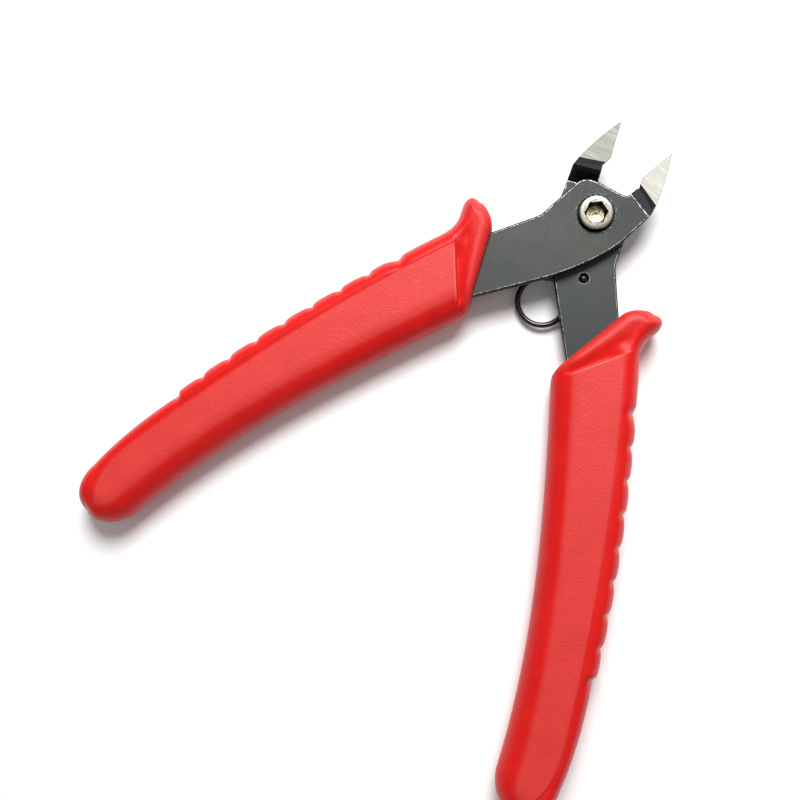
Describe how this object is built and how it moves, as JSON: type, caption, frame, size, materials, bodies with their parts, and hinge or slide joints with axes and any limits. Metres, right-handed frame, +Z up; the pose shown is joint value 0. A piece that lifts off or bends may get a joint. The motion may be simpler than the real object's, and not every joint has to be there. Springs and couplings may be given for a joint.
{
  "type": "flush cutter",
  "caption": "Small electronics flush cutter with crossed stamped blades, an angled bevelled jaw pair, a pivot screw, a loop spring and red moulded handle sleeves.",
  "frame": {"origin": "under the middle of the open tool, on the surface that the sleeves lie on", "axes": "+Y towards the jaw tips, +Z up from the bevelled side of the jaws, +X to the right; the arms open evenly to both sides of the Y axis"},
  "size_m": [0.1098, 0.1194, 0.0106],
  "materials": {
    "blade_steel": "dark gunmetal, satin, with bright ground bevels on the jaws",
    "nickel": "bright nickel plated",
    "spring_wire": "black oiled spring wire",
    "grip": "red moulded vinyl, fine pebbled"
  },
  "bodies": {
    "lower_arm": {"lower_blade": "blade_steel", "lower_grip": "grip", "pivot_screw": "nickel", "pivot_washer": "nickel", "pivot_nut": "nickel"},
    "upper_arm": {"upper_blade": "blade_steel", "upper_grip": "grip"},
    "spring": {"return_spring": "spring_wire"}
  },
  "joints": [
    {"name": "pivot_hinge", "type": "hinge", "parent": "lower_arm", "child": "upper_arm", "pos_m": [0, 0.04302, 0.0053], "axis": [0, 0, 1], "range_deg": [-6, 36.2], "stiffness_Nm_per_rad": 0.6, "deforming": ["return_spring"]},
    {"name": "spring_follow", "type": "hinge", "parent": "lower_arm", "child": "spring", "pos_m": [0, 0.04302, 0.0053], "axis": [0, 0, 1], "range_deg": [-3.5, 18.5]}
  ],
  "couplings": [
    {"joint": "spring_follow", "follows": "pivot_hinge", "ratio": 0.5}
  ]
}
